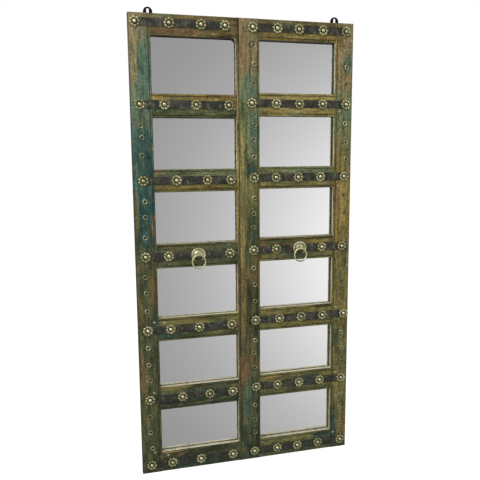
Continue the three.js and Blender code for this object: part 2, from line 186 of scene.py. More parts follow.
paint = {
    "tan": tone(126, 112, 78),
    "verdigris": tone(86, 104, 84),
    "sage": tone(98, 108, 74),
    "olive": tone(102, 98, 56),
    "ochre": tone(124, 106, 54),
    "gold": tone(140, 126, 72),
    "rust": tone(112, 86, 58),
    "umber": tone(92, 80, 46),
    "moss": tone(74, 78, 50),
    "teal": tone(58, 88, 78),
    "sea": tone(28, 60, 56),
    "bottle": tone(50, 64, 42),
    "soot": tone(34, 36, 28),
}
bare_wood = tone(106, 92, 62)
# Dark wood; also used as painted shade inside the openings.
dark_wood_and_shade = tone(38, 32, 20)
scraped_wood = tone(232, 226, 196)

# How far the paint goes round a front arris, how near the outer edges the front is darker, and how
# far from the back the wood is bare. Painted shade starts on an opening's sides at a depth from the
# front, and on its sill near the glass.
scribed_line = {"inset": 0.009, "core": 0.0008, "edge": 0.0028, "wobble": 0.003}
paint_depth = 0.0022
blend = 0.001
darker_edge_width = 0.006
bare_back = 0.0065
jamb_shade = {"depth": 0.007, "fade": 0.004, "ragged": 0.012}
sill_shade = {"height": 0.0045, "fade": 0.002, "ragged": 0.006}


def painted_wood(name, grain, tones, coats, washes, scribed, seed):
    """Worn paint. grain is the axis that it runs along. tones are the first coat's colours up the
    piece, as (height, colour). coats are two more paints that show in patches all over it. washes are
    patches in one place: colour, place across and up, half width and height, in mm from the panel's
    lower left corner, and strength. scribed are the places of the dark lines, as (axis, place)."""
    material, spot = start_material(name)
    x, y, z = spot.parts()
    shift = (seed * 3.7, seed * 1.3, seed * 2.9)
    fine = spot.stretch({"X": (0.1, 1, 1), "Z": (1, 1, 0.1)}[grain], shift)
    broad = spot.stretch({"X": (0.4, 1, 1), "Z": (1, 1, 0.4)}[grain], shift)
    fibre = fine.noise(320, 3, 0.5)
    streak = fine.noise(90, 4, 0.6)
    cloud = broad.noise(17, 5, 0.65)
    blotch = broad.noise(48, 4, 0.6)
    fleck = spot.stretch((1, 1, 1), shift).noise(105, 2, 0.5)

    # The coats of paint, then the patches in one place.
    low, high = tones[0][0], tones[-1][0]
    stops = [((level - low) / (high - low), paint[key]) for level, key in tones]
    share_up = (z - low) / (high - low) + (cloud - 0.5) * 0.12
    colour = share_up.make("ValToRGB", {"stops": stops}, {"Fac": share_up})
    colour = (cloud.band(0.5, 0.62) * 0.7).mix(colour, paint[coats[0]])
    colour = (blotch.band(0.54, 0.66) * 0.6).mix(colour, paint[coats[1]])
    for key, across, up, half_width, half_height, strength in washes:
        scale = (1000 / half_width, 0, 1000 / half_height)
        wash_x, wash_z = on_panel(across, up)
        reach = spot.stretch(scale).distance((wash_x * scale[0], 0, wash_z * scale[2]))
        ragged = reach + (cloud - 0.5) * 1.5 + (blotch - 0.5) * 1.2
        colour = (ragged.band(1.15, 0.6) * strength).mix(colour, paint[key])

    # The wear: rubbed streaks, pale chips, grime along the grain, dark pits, the scribed lines.
    rubbed = (streak * 0.5 + blotch * 0.5).band(0.56, 0.66)
    colour = (rubbed * 0.35).mix(colour, bare_wood)
    chips = (fleck * 0.6 + streak * 0.4).band(0.61, 0.7)
    colour = (chips * 0.12).mix(colour, scraped_wood)
    grime = (streak * 0.4 + blotch * 0.2 + fleck * 0.25 + fibre * 0.15).band(0.36, 0.64)
    colour = colour.dimmed(grime * 1.3 + 0.4)
    pits = fleck.band(0.34, 0.24)
    colour = (pits * 0.6).mix(colour, dark_wood_and_shade)
    wobble = (blotch - 0.5) * scribed_line["wobble"]
    for axis, place in scribed:
        off_line = ({"x": x, "z": z}[axis] + wobble - place).maths("ABSOLUTE")
        line = off_line.band(scribed_line["edge"], scribed_line["core"])
        colour = (line * (1 - chips) * 0.75).mix(colour, dark_wood_and_shade)

    # Below the paint on an opening's faces: scraped wood, then painted shade towards the glass,
    # and painted shadow on the faces that look down.
    facing_up = spot.make("NewGeometry", out="True Normal").parts()[2]
    off_middle = x.maths("ABSOLUTE")
    sides = off_middle.band(side_edge - 2 * blend, side_edge - blend)
    ends = z.maths("ABSOLUTE").band(end_edge - 2 * blend, end_edge - blend)
    outer = sides.maths("MAXIMUM", ends)
    deep = y.band(front + paint_depth, front + paint_depth + blend)
    scraped = (streak * 0.5 + fleck * 0.5).band(0.3, 0.5).mix(bare_wood, scraped_wood)
    # Painted shade: the sides and the sill darken towards the glass.
    jamb_shade_mask, sill_shade_mask = [
        (y + (streak - 0.5) * shaded_face["ragged"]).band(start, start + shaded_face["fade"])
        for shaded_face, start in (
            (jamb_shade, front + jamb_shade["depth"]), (sill_shade, glass - sill_shade["height"]),
        )
    ]
    sill = facing_up.band(0.4, 0.8)
    inner = ((jamb_shade_mask * (1 - sill) + sill_shade_mask * sill) * 0.9).mix(scraped, dark_wood_and_shade)
    # Painted shadow: the faces that look down are dark.
    inner = facing_up.band(-0.4, -0.8).mix(inner, dark_wood_and_shade)
    colour = (deep * (1 - outer)).mix(colour, inner)

    # The outer edges, which the paint goes round only a little and which are darker, and the bare
    # back.
    colour = (deep * outer * 0.75).mix(colour, dark_wood_and_shade)
    colour = y.band(-bare_back - 1.5 * blend, -bare_back).mix(colour, bare_wood)
    # The front is darker in streaks near the outer edges.
    darker_near_sides = off_middle.band(side_edge - darker_edge_width, side_edge - blend) * streak.band(0.4, 0.55)
    colour = (darker_near_sides * 0.7).mix(colour, dark_wood_and_shade)

    relief = streak * 0.5 + fibre * 0.3 - rubbed * 0.5 - pits * 0.6 + cloud * 0.3
    end_material(spot, {
        "Base Color": colour, "Roughness": 0.5 + rubbed * 0.2 + blotch * 0.15,
        "Specular IOR Level": 0.25, "Normal": relief.bumps(0.0008, 0.9),
    })
    return material


def mesh_of(work, name):
    """The bmesh work kept as a mesh, to show or to stamp copies of."""
    mesh = bpy.data.meshes.new(name)
    work.to_mesh(mesh)
    work.free()
    return mesh


def place_piece(work, name, material, body, replaced=(), smooth=30):
    """The bmesh work made a piece of the object, smooth but for edges sharper than smooth degrees."""
    mesh = mesh_of(work, name)
    mesh.materials.append(material)
    mesh.shade_smooth()
    mesh.set_sharp_from_angle(angle=math.radians(smooth))
    piece = bpy.data.objects.new(name, mesh)
    bpy.context.scene.collection.objects.link(piece)
    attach(piece, body)
    if replaced:
        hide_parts(*replaced)


def copy_of(node):
    """The CAD node's mesh as a bmesh, its loose triangles joined and its flat faces made whole."""
    work = bmesh.new()
    work.from_mesh(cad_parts[node].data)
    bmesh.ops.remove_doubles(work, verts=work.verts, dist=1e-5)
    bmesh.ops.dissolve_limit(work, angle_limit=math.radians(1), verts=work.verts, edges=work.edges)
    return work


def ease(work, edges, width):
    """These edges rounded over."""
    bmesh.ops.bevel(
        work, geom=edges, offset=width, segments=2, profile=0.5, affect="EDGES", material=-1,
        clamp_overlap=True,
    )


def cut_across(work, start, step, count):
    """Cuts right round the piece, between which it can bend: count - 1 of them, each a step further
    from start."""
    for i in range(1, count):
        bmesh.ops.bisect_plane(
            work, geom=work.verts[:] + work.edges[:] + work.faces[:], dist=1e-6,
            plane_co=start + step * i, plane_no=step.normalized(),
        )


# The front arrises are the long edges near the front. Each row of roundings is the least turn in
# degrees between an edge's two faces, and the width that it is eased by.
arris_depth = 0.0027
shortest_arris = 0.25
arris_roundings = [(80, 0.0022), (35, 0.0005)]
dent_spacing = 0.04
dented_depth = 0.004
dent_depth = 0.0006


def worn_timber(node, grain):
    """The timber with its front arrises eased, and dented a little as years of use leave it."""
    work = copy_of(node)
    direction = {"X": Vector((1, 0, 0)), "Z": Vector((0, 0, 1))}[grain]
    for least_turn, width in arris_roundings:
        ease(work, [
            edge for edge in work.edges
            if all(vert.co.y < front + arris_depth for vert in edge.verts)
            and edge.calc_length() > shortest_arris
            and abs((edge.verts[0].co - edge.verts[1].co).normalized().dot(direction)) > 0.99
            and least_turn < math.degrees(edge.calc_face_angle(0)) < least_turn + 45
        ], width)
    low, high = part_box(node)
    cut_across(work, low, direction * dent_spacing, int((high - low).dot(direction) / dent_spacing))
    for vert in work.verts:
        if vert.co.y < front + dented_depth:
            dent = noise.noise(vert.co * 22) + 0.5 * noise.noise(vert.co * 70)
            vert.co.y += dent_depth * max(dent, 0)
    return work


# Each stile's finish: the first coat's colours up the stile, two coats in patches, and washes.
stile_finishes = {
    "left_outer_stile": (
        [
            (-0.915, "moss"), (-0.66, "moss"), (-0.5, "umber"), (-0.36, "moss"), (-0.14, "umber"),
            (-0.02, "moss"), (0.1, "sea"), (0.3, "teal"), (0.45, "teal"), (0.56, "verdigris"),
            (0.8, "verdigris"), (0.88, "tan"), (0.915, "tan"),
        ],
        ("bottle", "umber"),
        [
            ("tan", 14, 1700, 20, 160, 0.8), ("teal", 60, 1600, 24, 90, 0.5),
            ("sea", 52, 1290, 32, 110, 0.6), ("sea", 46, 1120, 30, 70, 0.6),
            ("umber", 8, 1060, 12, 100, 0.7), ("teal", 44, 985, 26, 34, 0.8),
            ("rust", 74, 1020, 10, 60, 0.5), ("umber", 66, 780, 20, 100, 0.7),
            ("umber", 12, 780, 12, 90, 0.8),
            ("bottle", 30, 760, 22, 90, 0.7), ("sea", 74, 640, 20, 40, 0.8),
            ("umber", 10, 480, 14, 90, 0.8), ("bottle", 58, 430, 26, 120, 0.7),
        ],
    ),
    "left_meeting_stile": (
        [
            (-0.915, "moss"), (-0.5, "umber"), (-0.1, "umber"), (0.1, "ochre"), (0.4, "gold"),
            (0.65, "tan"), (0.915, "umber"),
        ],
        ("umber", "ochre"),
        [("soot", 418, 1780, 10, 60, 0.6), ("moss", 418, 900, 10, 60, 0.7)],
    ),
    "right_meeting_stile": (
        [
            (-0.915, "bottle"), (-0.6, "bottle"), (-0.46, "umber"), (-0.3, "moss"), (-0.1, "umber"),
            (0.05, "moss"), (0.25, "olive"), (0.45, "sage"), (0.64, "sage"), (0.74, "tan"),
            (0.915, "tan"),
        ],
        ("moss", "umber"),
        [
            ("rust", 446, 1700, 12, 110, 0.5), ("verdigris", 470, 1560, 34, 70, 0.7),
            ("gold", 434, 1300, 12, 170, 0.8), ("sea", 476, 1240, 26, 44, 0.7),
            ("teal", 484, 1400, 20, 90, 0.6), ("gold", 434, 960, 13, 130, 0.75),
            ("bottle", 482, 1000, 24, 90, 0.7), ("ochre", 436, 660, 14, 150, 0.7),
            ("soot", 460, 700, 14, 110, 0.6), ("bottle", 492, 620, 14, 200, 0.6),
            ("rust", 438, 410, 18, 90, 0.9), ("verdigris", 452, 260, 24, 120, 0.4),
        ],
    ),
    "right_outer_stile": (
        [
            (-0.915, "moss"), (-0.6, "olive"), (-0.4, "moss"), (-0.25, "olive"), (0.0, "olive"),
            (0.12, "ochre"), (0.26, "ochre"), (0.36, "olive"), (0.55, "sage"), (0.7, "tan"),
            (0.915, "tan"),
        ],
        ("ochre", "umber"),
        [
            ("umber", 850, 1770, 16, 60, 0.6), ("teal", 884, 1660, 20, 44, 0.85),
            ("verdigris", 890, 1500, 16, 60, 0.7), ("gold", 868, 1090, 22, 110, 0.6),
            ("rust", 846, 1120, 14, 90, 0.7), ("bottle", 884, 880, 16, 60, 0.7),
            ("bottle", 850, 560, 20, 60, 0.5), ("sea", 844, 90, 16, 90, 0.7),
        ],
    ),
}
opens_to_the_right = ("left_outer_stile", "right_meeting_stile")
line_inset = scribed_line["inset"]
for seed, (node, (tones, coats, washes)) in enumerate(stile_finishes.items()):
    low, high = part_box(node)
    line = high.x - line_inset if node in opens_to_the_right else low.x + line_inset
    wood = painted_wood(f"{node}_paint", "Z", tones, coats, washes, [("x", line)], seed + 1)
    place_piece(worn_timber(node, "Z"), f"{node}_timber", wood, "panel", [node])

# Each rail's finish: paint below the strap, paint above it, two coats in patches, and washes. The two
# paints meet within half_blend of the rail's middle line.
half_blend = 0.008
rail_finishes = {
    "left_rail_1": ("bottle", "moss", ("soot", "umber"), [
        ("gold", 130, 80, 60, 6, 0.8), ("soot", 240, 64, 90, 12, 0.6),
        ("sea", 220, 14, 120, 8, 0.3),
    ]),
    "left_rail_2": ("bottle", "moss", ("soot", "umber"), [
        ("gold", 150, 358, 100, 7, 0.8), ("sea", 260, 340, 90, 12, 0.4),
    ]),
    "left_rail_3": ("moss", "olive", ("bottle", "umber"), [
        ("sea", 130, 590, 60, 20, 0.7), ("umber", 220, 648, 90, 14, 0.6),
    ]),
    "left_rail_4": ("moss", "moss", ("soot", "umber"), [
        ("umber", 150, 945, 50, 14, 0.6), ("sea", 300, 890, 70, 12, 0.3),
    ]),
    "left_rail_5": ("olive", "sage", ("moss", "umber"), [
        ("rust", 104, 1246, 26, 10, 0.8), ("ochre", 200, 1180, 90, 10, 0.7),
        ("rust", 320, 1178, 40, 8, 0.5),
    ]),
    "left_rail_6": ("moss", "ochre", ("moss", "olive"), [
        ("bottle", 130, 1480, 60, 12, 0.7), ("umber", 330, 1540, 60, 8, 0.6),
    ]),
    "left_rail_7": ("umber", "umber", ("moss", "rust"), [
        ("rust", 200, 1768, 110, 12, 0.8), ("soot", 360, 1762, 40, 8, 0.6),
        ("sage", 110, 1822, 50, 8, 0.6),
    ]),
    "right_rail_1": ("moss", "olive", ("moss", "olive"), [
        ("sea", 790, 60, 50, 30, 0.8), ("sage", 580, 76, 90, 8, 0.6),
    ]),
    "right_rail_2": ("olive", "olive", ("moss", "umber"), [
        ("sea", 700, 350, 60, 10, 0.7), ("gold", 560, 362, 60, 6, 0.6),
    ]),
    "right_rail_3": ("olive", "olive", ("moss", "ochre"), [
        ("gold", 640, 664, 110, 7, 0.7), ("soot", 780, 660, 40, 10, 0.6),
    ]),
    "right_rail_4": ("olive", "umber", ("moss", "soot"), [
        ("bottle", 600, 950, 60, 10, 0.7), ("ochre", 770, 945, 50, 14, 0.6),
        ("sea", 650, 890, 80, 10, 0.5),
    ]),
    "right_rail_5": ("olive", "sage", ("moss", "umber"), [
        ("umber", 700, 1180, 80, 8, 0.6), ("gold", 560, 1246, 60, 8, 0.5),
    ]),
    "right_rail_6": ("gold", "gold", ("sage", "olive"), [
        ("moss", 560, 1540, 60, 8, 0.7), ("soot", 660, 1492, 30, 8, 0.5),
        ("ochre", 760, 1476, 60, 8, 0.6),
    ]),
    "right_rail_7": ("ochre", "umber", ("moss", "umber"), [
        ("gold", 700, 1768, 70, 8, 0.7), ("umber", 560, 1768, 60, 10, 0.7),
        ("moss", 640, 1822, 90, 8, 0.6),
    ]),
}
for seed, (node, (lower, upper, coats, washes)) in enumerate(rail_finishes.items()):
    low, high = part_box(node)
    middle = (low.z + high.z) / 2
    tones = [
        (low.z, lower), (middle - half_blend, lower), (middle + half_blend, upper), (high.z, upper),
    ]
    lines = (high.z - line_inset, low.z + line_inset)
    scribed = [("z", place) for place in lines if abs(place) < end_edge - 2 * line_inset]
    wood = painted_wood(f"{node}_paint", "X", tones, coats, washes, scribed, seed + 11)
    place_piece(worn_timber(node, "X"), f"{node}_timber", wood, "panel", [node])

# ---- Mirror panes: plain silvered glass, dropped into the rebates from behind. The front is wiped
# but not perfectly clean.

silver = tone(238, 238, 238)
wiped_roughness = 0.008
smeared_roughness = 0.02

material, spot = start_material("silvered_glass")
smear = spot.stretch((1, 1, 0.5)).noise(14, 4, 0.6).band(0.4, 0.8)
end_material(spot, {
    "Base Color": silver, "Metallic": 1.0, "Roughness": smear * smeared_roughness + wiped_roughness,
})
for leaf in ("left", "right"):
    for row in range(1, 7):
        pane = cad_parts[f"{leaf}_mirror_{row}"]
        pane.data.materials.clear()
        pane.data.materials.append(material)

# ---- Backing board: one sheet of plywood over both leaves, its edges eased with sandpaper, held by
# three columns of countersunk steel screws into the stiles.

board_low, board_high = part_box("backing_board")
board_rounding = 0.0006
stained_rim = 0.03
face_veneer = 0.0008
board_screw = {"radius": 0.0045, "depth": 0.0024, "taper": 0.6, "proud": 0.0002}
screw_inset = 0.03
screw_rows = 6
meeting_screw_inset = 0.045
screw_columns = (
    board_low.x + screw_inset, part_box("right_meeting_stile")[0].x + meeting_screw_inset,
    board_high.x - screw_inset,
)
veneer = {
    "pale": tone(190, 156, 110), "tan": tone(168, 132, 88), "ring": tone(132, 94, 56),
    "pore": tone(104, 74, 44), "stain": tone(88, 66, 44), "edge": tone(112, 84, 56),
}

material, spot = start_material("plywood")
grain = spot.stretch((1, 1, 0.03), (2, 1, 4)).noise(260, 4, 0.6)
figure = spot.stretch((1, 0, 0.09), (5, 2, 1)).noise(4.5, 2, 0.4)
rings = (figure * 150 + grain * 3).maths("SINE").band(-0.2, 0.9)
shade = spot.stretch((1, 1, 0.3), (1, 3, 2)).noise(5, 4, 0.6)
colour = shade.band(0.35, 0.65).mix(veneer["pale"], veneer["tan"])
colour = (rings * 0.45).mix(colour, veneer["ring"])
colour = (grain.band(0.46, 0.3) * 0.5).mix(colour, veneer["pore"])
across, deep, up = spot.parts()
rim = across.maths("ABSOLUTE").band(board_high.x - stained_rim, board_high.x)
stain = (rim * 0.25 + spot.noise(4, 5, 0.65)).band(0.56, 0.72)
colour = (stain * 0.4).mix(colour, veneer["stain"])
colour = deep.band(-face_veneer, -1.5 * face_veneer).mix(colour, veneer["edge"])
end_material(spot, {
    "Base Color": colour, "Roughness": 0.75, "Specular IOR Level": 0.3,
    "Normal": (grain - rings * 0.4).bumps(0.0004, 0.6),
})
work = copy_of("backing_board")
ease(work, work.edges[:], board_rounding)
place_piece(work, "plywood_board", material, "panel", ["backing_board"])

screw_steel, spot = start_material("screw_steel")
scuffs = spot.noise(900, 3, 0.6)
colour = scuffs.band(0.4, 0.7).mix(tone(150, 150, 146), tone(96, 94, 88))
end_material(spot, {
    "Base Color": colour, "Metallic": 1.0, "Roughness": 0.3 + scuffs * 0.25,
    "Normal": scuffs.bumps(0.0001, 0.4),
})


def stamp(work, pattern, place):
    """A copy of the mesh pattern added to work, moved there by the matrix place."""
    known = len(work.verts)
    work.from_mesh(pattern)
    work.verts.ensure_lookup_table()
    bmesh.ops.transform(work, matrix=place, verts=work.verts[known:])


work = bmesh.new()
bmesh.ops.create_cone(
    work, cap_ends=True, segments=16, radius1=board_screw["radius"] * board_screw["taper"],
    radius2=board_screw["radius"], depth=board_screw["depth"],
    matrix=Matrix.Translation((0, 0, -board_screw["depth"] / 2)),
)
bmesh.ops.rotate(work, matrix=Matrix.Rotation(-math.pi / 2, 3, "X"), verts=work.verts)
screw_head = mesh_of(work, "board_screw_head")

screw_span = board_high.z - board_low.z - 2 * screw_inset
work = bmesh.new()
for x in screw_columns:
    for i in range(screw_rows):
        z = board_low.z + screw_inset + screw_span * i / (screw_rows - 1)
        stamp(work, screw_head, Matrix.Translation((x, board_screw["proud"], z)))
place_piece(work, "board_screws", screw_steel, "panel")

# ---- Iron straps: flat bars laid across each rail and its stiles, dark with age and paint, hammered
# uneven, with a few small round-headed nails of their own.

strap_height = 0.032
strap_thickness = 0.0025
strap_tail = 0.014
strap_rounding = 0.0008
rosette_reach = 0.0215
hammer_spacing = 0.02
hammer_depth = 0.0006
edge_waver = 0.0008
strap_nail = 0.0024
# Which strap has a nail of its own, and how far it is from the panel's left edge, in mm.
strap_nail_places = [
    ("left_strap_7", 102), ("left_strap_6", 99), ("left_strap_2", 114), ("right_strap_3", 537),
    ("left_strap_5", 300), ("right_strap_6", 655), ("right_strap_1", 575), ("right_strap_4", 790),
]
iron = {
    "dark": tone(44, 43, 37), "grey": tone(68, 69, 59), "struck": tone(96, 94, 72),
    "green": tone(46, 56, 38), "dust": tone(128, 124, 98), "pit": tone(24, 23, 18),
    "low_green": tone(36, 46, 36),
}

strap_iron, spot = start_material("strap_iron")
hammered = spot.stretch((1, 1, 0.6), (1, 2, 3)).noise(80, 4, 0.6)
mottle = spot.noise(36, 6, 0.65)
speck = spot.stretch((1, 1, 1), (3, 1, 2)).noise(210, 4, 0.65)
colour = mottle.band(0.42, 0.64).mix(iron["dark"], iron["grey"])
colour = (hammered.band(0.55, 0.68) * 0.6).mix(colour, iron["struck"])
colour = (mottle.band(0.44, 0.32) * 0.6).mix(colour, iron["green"])
colour = (speck.band(0.62, 0.72) * 0.5).mix(colour, iron["dust"])
colour = (speck.band(0.4, 0.3) * 0.8).mix(colour, iron["pit"])
colour = colour.dimmed((hammered * 0.5 + speck * 0.5).band(0.36, 0.64) * 0.7 + 0.65)
# Darker and greener towards the bottom of the panel.
colour = (spot.parts()[2].band(-0.3, -0.8) * 0.45).mix(colour, iron["low_green"])
height = hammered * 0.6 + speck * 0.25 + mottle * 0.3
end_material(spot, {
    "Base Color": colour, "Roughness": 0.5 + speck * 0.3, "Specular IOR Level": 0.3,
    "Normal": height.bumps(0.001, 0.9),
})


def strap_ends(node):
    """The x of the iron's own two ends. The node's box is wider, as far as its end rosettes reach."""
    low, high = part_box(node)
    past_end = rosette_reach * math.cos(math.pi / 8) - strap_tail
    return low.x + past_end, high.x - past_end


def strap_middle(node):
    """The height of the strap's middle line."""
    low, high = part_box(node)
    return (low.z + high.z) / 2


for leaf in ("left", "right"):
    for row in range(1, 8):
        node = f"{leaf}_strap_{row}"
        start, end = strap_ends(node)
        middle = strap_middle(node)
        work = bmesh.new()
        bmesh.ops.create_cube(work, size=1)
        bmesh.ops.scale(work, vec=(end - start, strap_thickness, strap_height), verts=work.verts)
        centre = Vector(((start + end) / 2, front - strap_thickness / 2, middle))
        bmesh.ops.translate(work, vec=centre, verts=work.verts)
        ease(work, work.edges[:], strap_rounding)
        cuts = int((end - start) / hammer_spacing)
        cut_across(work, Vector((start, 0, 0)), Vector(((end - start) / cuts, 0, 0)), cuts)
        for vert in work.verts:
            if vert.co.y < front - strap_thickness / 2:
                vert.co.y += hammer_depth * max(noise.noise(vert.co * 60), 0)
            vert.co.z += edge_waver * noise.noise(vert.co * 40)
        for strap, across in strap_nail_places:
            if strap == node:
                nail = bmesh.ops.create_uvsphere(work, u_segments=10, v_segments=6, radius=strap_nail)
                x, _ = on_panel(across, 0)
                place = Vector((x, front - strap_thickness, middle))
                bmesh.ops.translate(work, vec=place, verts=nail["verts"])
        place_piece(work, f"{node}_iron", strap_iron, "panel", [node])

# ---- Rosettes: cast brass flowers of eight round petals about a domed nail head, polished on top and
# dark in the hollows. They hold the straps to the wood, one at each end and the rest between.

petals = 8
petal = {"ring": 0.0159, "across": 0.0066, "along": 0.0057, "flatten": 0.48, "out": 0.0016}
rosette_size = petal["ring"] + petal["along"]
rosette_dome = {"radius": 0.0086, "top": 0.0105 - strap_thickness, "base": 0.0014}
rosette_plate = {"radius": 0.0180, "thickness": 0.0005}
polished_brass = tone(226, 222, 180)
plain_brass = tone(176, 173, 128)
grimy_brass_and_shade = tone(32, 30, 17)


def old_brass(name, floor, top, polish, seed, turned=0.1, painted_shade=()):
    """Brass that is dark at the height floor off the wood, bare from the height top, and rubbed
    bright from the height polish. Faces turned further from the front than turned stay dark. The
    spots in the last argument are darkened as painted shade, as (middle, reach)."""
    brass, spot = start_material(name)
    rise = front - spot.parts()[1]
    facing_back = spot.make("NewGeometry", out="Normal").parts()[1]
    pitted = spot.stretch((1, 1, 1), (seed, seed * 2, 1)).noise(230, 4, 0.6)
    dulled = spot.stretch((1, 1, 1), (seed, 1, seed * 3)).noise(26, 3, 0.6)
    bare = (rise + (pitted - 0.5) * 0.002).band(floor, top) * facing_back.band(turned, turned - 0.55)
    colour = bare.mix(grimy_brass_and_shade, plain_brass)
    shine = bare * (rise + (dulled - 0.5) * 0.008).band(polish - 0.002, polish + 0.001)
    colour = shine.mix(colour, polished_brass)
    colour = colour.dimmed(dulled.band(0.35, 0.6) * 0.4 + 0.7)
    # Painted shade: these spots are darkened towards dark brass.
    for middle, reach in painted_shade:
        away = spot.distance(middle) + (pitted - 0.5) * 0.006
        colour = (away.band(reach, reach * 0.6) * 0.85).mix(colour, grimy_brass_and_shade)
    end_material(spot, {
        "Base Color": colour, "Metallic": 0.85, "Roughness": 0.46 - shine * 0.16,
        "Normal": pitted.bumps(0.0003, 0.5),
    })
    return brass


rosette_brass = old_brass("rosette_brass", floor=0.0028, top=0.0042, polish=0.0080, seed=1)
to_the_front = Matrix.Rotation(math.pi / 2, 4, "X")


def add_ball(work, centre, size, segments, rings, turn=0.0):
    """A ball of the half sizes size, turned about the line to the front."""
    place = (
        Matrix.Translation(centre) @ Matrix.Rotation(turn, 4, "Y")
        @ Matrix.Diagonal((*size, 1)) @ to_the_front
    )
    bmesh.ops.create_uvsphere(work, u_segments=segments, v_segments=rings, radius=1, matrix=place)


work = bmesh.new()
bmesh.ops.create_cone(
    work, cap_ends=True, segments=24, radius1=rosette_plate["radius"], radius2=rosette_plate["radius"],
    depth=rosette_plate["thickness"],
    matrix=Matrix.Translation((0, -rosette_plate["thickness"] / 2, 0)) @ to_the_front,
)
for i in range(petals):
    angle = 2 * math.pi * i / petals
    centre = Vector((petal["ring"] * math.sin(angle), -petal["out"], petal["ring"] * math.cos(angle)))
    size = (petal["across"], petal["along"] * petal["flatten"], petal["along"])
    add_ball(work, centre, size, segments=10, rings=6, turn=angle)
dome_reach = rosette_dome["top"] - rosette_dome["base"]
dome_size = (rosette_dome["radius"], dome_reach, rosette_dome["radius"])
add_ball(work, Vector((0, -rosette_dome["base"], 0)), dome_size, segments=16, rings=8)
rosette = mesh_of(work, "rosette")

# The rosettes between the two end ones, as shares of the way, bottom strap first. The gap in the
# fourth strap is the ring pull's.
rosette_shares = {
    "left": [
        (0.25, 0.6), (0.385, 0.715), (0.265, 0.607), (0.27,), (0.37, 0.724), (0.27, 0.624),
        (0.372, 0.726),
    ],
    "right": [
        (0.259, 0.49, 0.734), (0.247, 0.496, 0.743), (0.264, 0.509, 0.751), (0.251, 0.765),
        (0.237, 0.482, 0.73), (0.253, 0.496, 0.744), (0.257, 0.486, 0.746),
    ],
}
chance = random.Random(4)
for leaf in ("left", "right"):
    for row, shares in enumerate(rosette_shares[leaf], start=1):
        node = f"{leaf}_strap_{row}"
        low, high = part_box(node)
        first, last = low.x + rosette_size, high.x - rosette_size
        work = bmesh.new()
        for share in (0, *shares, 1):
            centre = (first + share * (last - first), front - strap_thickness, strap_middle(node))
            turn = Matrix.Rotation(chance.uniform(0, 0.8), 4, "Y")
            size = Matrix.Scale(chance.uniform(0.98, 1.01), 4)
            stamp(work, rosette, Matrix.Translation(centre) @ turn @ size)
        name = f"{leaf}_rosettes_{row}"
        place_piece(work, name, rosette_brass, "panel", [node], smooth=60)

# ---- Ring nails: small brass eyelets driven in rows down the stiles, three beside each opening, with
# the nail's dark head in the middle. Some were painted over with the wood.

ring_nail = {"ring": 0.0080, "wire": 0.0021, "flatten": 0.8, "out": 0.0010}
nail_head = {"radius": 0.0032, "rise": 0.0014}
nail_stray = 0.004
nail_brass = old_brass("ring_nail_brass", floor=-0.0010, top=0.0009, polish=0.0036, seed=3)

nail_iron, spot = start_material("nail_heads")
rust = spot.noise(500, 3, 0.6)
end_material(spot, {
    "Base Color": rust.band(0.4, 0.7).mix(tone(28, 28, 22), tone(74, 66, 50)), "Metallic": 0.3,
    "Roughness": 0.7, "Normal": rust.bumps(0.0002, 0.5),
})

nail_paint, spot = start_material("painted_nails")
crust = spot.noise(260, 4, 0.6)
colour = crust.band(0.4, 0.6).mix(tone(84, 80, 48), tone(126, 120, 80))
end_material(spot, {"Base Color": colour, "Roughness": 0.6, "Normal": crust.bumps(0.0004, 0.7)})


def turn_on_lathe(work, steps):
    """The outline in work turned about the line to the front, and closed where it is open."""
    bmesh.ops.spin(
        work, geom=work.verts[:] + work.edges[:], cent=(0, 0, 0), axis=(0, 1, 0), angle=2 * math.pi,
        steps=steps, use_merge=True,
    )
    bmesh.ops.remove_doubles(work, verts=work.verts, dist=1e-5)
    bmesh.ops.holes_fill(work, edges=work.edges, sides=60)
    bmesh.ops.recalc_face_normals(work, faces=work.faces)


def wire_ring(radius, wire, sides, steps):
    """A ring of round wire that faces the front, with its middle at the origin."""
    work = bmesh.new()
    section = bmesh.ops.create_circle(work, segments=sides, radius=wire)["verts"]
    bmesh.ops.translate(work, vec=(radius, 0, 0), verts=section)
    turn_on_lathe(work, steps)
    return work


work = wire_ring(ring_nail["ring"], ring_nail["wire"], sides=8, steps=20)
bmesh.ops.scale(work, vec=(1, ring_nail["flatten"], 1), verts=work.verts)
nail_ring = mesh_of(work, "nail_ring")

# Each row's distance from the panel's left edge, and the heights of its nails from the lower edge,
# both in mm, top opening first.
nail_rows = {
    "left_ring_nails": (40, nail_brass, [
        (1418, 1373, 1305), (1129, 1068, 987), (830, 765, 690), (539, 468, 402), (245, 178, 108),
    ]),
    "meeting_ring_nails": (482, nail_brass, [
        (1729, 1659, 1584), (1424, 1367, 1297), (1132, 1068, 1012), (842, 772, 701), (532, 479, 414),
        (244, 178, 120),
    ]),
    "right_ring_nails": (879, nail_brass, [
        (1718, 1657, 1593), (1431, 1355, 1286), (534, 462, 402), (245, 185, 115),
    ]),
    "right_painted_nails": (879, nail_paint, [(1136, 1061, 994), (836, 765, 687)]),
}
heads = bmesh.new()
for name, (across, material, openings) in nail_rows.items():
    work = bmesh.new()
    for up in [height for opening in openings for height in opening]:
        x, z = on_panel(across, up)
        x += chance.uniform(-nail_stray, nail_stray)
        stamp(work, nail_ring, Matrix.Translation((x, front - ring_nail["out"], z)))
        size = (nail_head["radius"], nail_head["rise"], nail_head["radius"])
        add_ball(heads, Vector((x, front, z)), size, segments=8, rings=4)
    place_piece(work, name, material, "panel", smooth=60)
place_piece(heads, "ring_nail_heads", nail_iron, "panel", smooth=60)

# ---- Pegs: the ends of the wooden pins that lock the tenons, pale where the paint has rubbed off.
# Their places are in mm from the panel's lower left corner.

